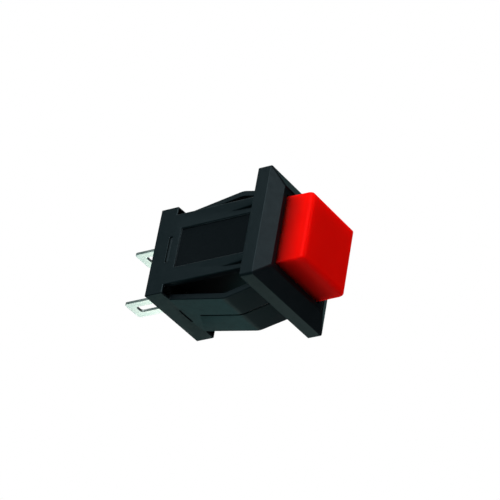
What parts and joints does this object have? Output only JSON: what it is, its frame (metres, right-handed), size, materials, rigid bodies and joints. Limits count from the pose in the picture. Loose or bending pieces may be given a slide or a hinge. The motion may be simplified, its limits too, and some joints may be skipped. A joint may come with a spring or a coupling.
{
  "type": "latching push button switch",
  "caption": "Latching push button switch with a square red cap, a square sloped bezel, a black snap-in body and flat solder lugs.",
  "frame": {"origin": "centre of the square panel hole, in the plane of the bezel face that seats on the panel", "axes": "+Z along the push axis, out of the panel; the plain side plates face X and the snap wings face Y"},
  "size_m": [0.015, 0.015, 0.0282],
  "materials": {
    "black_moulding": "fine satin moulded nylon",
    "base_moulding": "matt moulded thermoset",
    "red_cap": "polished moulded ABS",
    "plunger_moulding": "natural acetal",
    "spring_steel": "drawn spring wire and strip",
    "strip_brass": "rolled brass strip",
    "contact_silver": "silver faced copper rivet",
    "tinned_strip": "tin plated brass strip"
  },
  "bodies": {
    "switch_body": {"housing": "black_moulding", "rear_base": "base_moulding", "latch_leaf": "spring_steel", "terminal_upper": "tinned_strip", "terminal_lower": "tinned_strip", "fixed_contact_upper": "contact_silver", "fixed_contact_lower": "contact_silver"},
    "button": {"button_cap": "red_cap", "plunger": "plunger_moulding", "return_spring": "spring_steel"},
    "pin": {"latch_pin": "spring_steel"},
    "bridge": {"contact_bridge": "strip_brass", "bridge_contact_upper": "contact_silver", "bridge_contact_lower": "contact_silver", "contact_spring": "spring_steel"}
  },
  "joints": [
    {"name": "button_press", "type": "slide", "parent": "switch_body", "child": "button", "axis": [0, 0, 1], "range_m": [-0.0028, 0], "stiffness_N_per_m": 500, "springref_m": 0.002, "deforming": ["return_spring", "contact_spring"]},
    {"name": "pin_swing", "type": "hinge", "parent": "switch_body", "child": "pin", "pos_m": [0, 0, -0.01211], "axis": [-1, 0, 0], "range_deg": [0, 13.8]},
    {"name": "bridge_slide", "type": "slide", "parent": "switch_body", "child": "bridge", "axis": [0, 0, 1], "range_m": [-0.00099, 0]}
  ],
  "couplings": [
    {"joint": "pin_swing", "follows": "button_press", "rad_per_m": -85.729},
    {"joint": "bridge_slide", "follows": "button_press", "ratio": 0.35}
  ]
}
